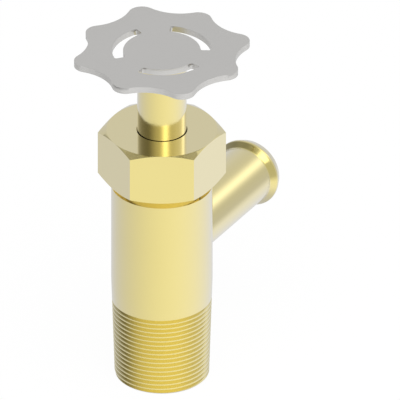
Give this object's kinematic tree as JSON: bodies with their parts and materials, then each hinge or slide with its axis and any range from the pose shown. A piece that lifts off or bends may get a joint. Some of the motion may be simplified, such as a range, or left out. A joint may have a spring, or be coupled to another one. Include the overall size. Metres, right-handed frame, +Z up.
{
  "type": "drain valve",
  "caption": "Brass drain valve with a taper pipe inlet, a barbed side outlet for a hose, a hexagon packing nut and a lobed handwheel on a rising stem.",
  "frame": {"origin": "centre of the inlet end face, on the stem's axis", "axes": "+Z up the stem's axis to the handwheel, +X along the outlet spout, away from the body"},
  "size_m": [0.0584, 0.0376, 0.081],
  "materials": {
    "brass_bar": "polished turned brass",
    "brass_inner": "plain turned brass",
    "wheel_steel": "satin grey coating on stamped steel",
    "black_rubber": "matte moulded rubber",
    "white_packing": "matte pressed packing",
    "spring_steel": "rolled stainless spring strip"
  },
  "bodies": {
    "valve": {"valve_body": "brass_bar", "outlet_spout": "brass_bar", "packing_nut": "brass_bar", "gland_follower": "brass_inner", "packing_ring_lower": "white_packing", "packing_ring_upper": "white_packing", "packing_washer": "brass_inner"},
    "disc": {"disc_holder": "brass_inner", "swivel_ring": "spring_steel", "seat_washer": "black_rubber", "screw_washer": "brass_inner", "washer_screw": "brass_inner"},
    "stem_and_wheel": {"stem": "brass_bar", "handwheel": "wheel_steel"}
  },
  "joints": [
    {"name": "disc_lift", "type": "slide", "parent": "valve", "child": "disc", "axis": [0, 0, 1], "range_m": [0, 0.0045]},
    {"name": "stem_turn", "type": "hinge", "parent": "disc", "child": "stem_and_wheel", "pos_m": [0, 0, 0.0265], "axis": [0, 0, 1], "range_deg": [0, 1080]}
  ],
  "couplings": [
    {"joint": "stem_turn", "follows": "disc_lift", "rad_per_m": 4188.8}
  ]
}
